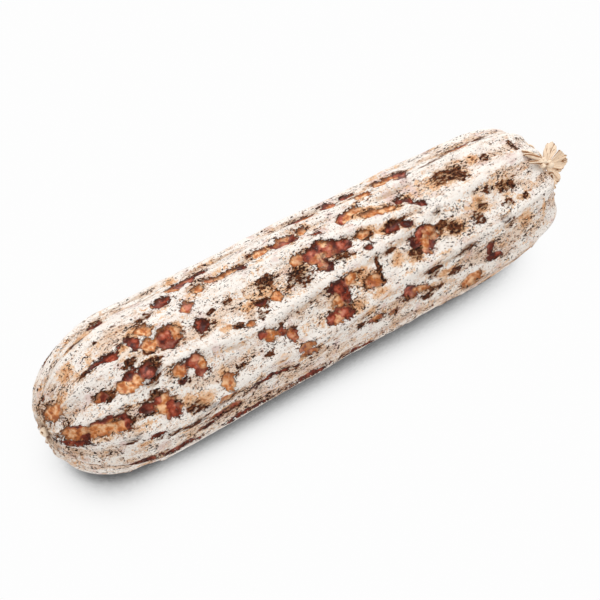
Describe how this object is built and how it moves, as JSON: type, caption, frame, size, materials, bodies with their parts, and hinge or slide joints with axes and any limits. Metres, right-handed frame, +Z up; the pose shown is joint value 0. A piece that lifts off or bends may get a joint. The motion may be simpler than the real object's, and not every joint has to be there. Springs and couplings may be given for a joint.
{
  "type": "cured sausage",
  "caption": "Whole dry-cured sausage in a bloomed natural casing, lying on its side, with a twisted bud at one end and a tied tuft of dry casing at the other.",
  "frame": {"origin": "under the middle of the whole length and width, on the plane that the sausage rests on", "axes": "+X along the sausage from the twisted bud to the tied tuft, +Y square to it, +Z up"},
  "size_m": [0.259, 0.0626, 0.0627],
  "materials": {
    "bloomed_casing": "matte powdery bloom with glossy bare spots of meat",
    "twine": "matte"
  },
  "bodies": {
    "root": {"sausage": "bloomed_casing", "tie": "twine"}
  },
  "joints": []
}
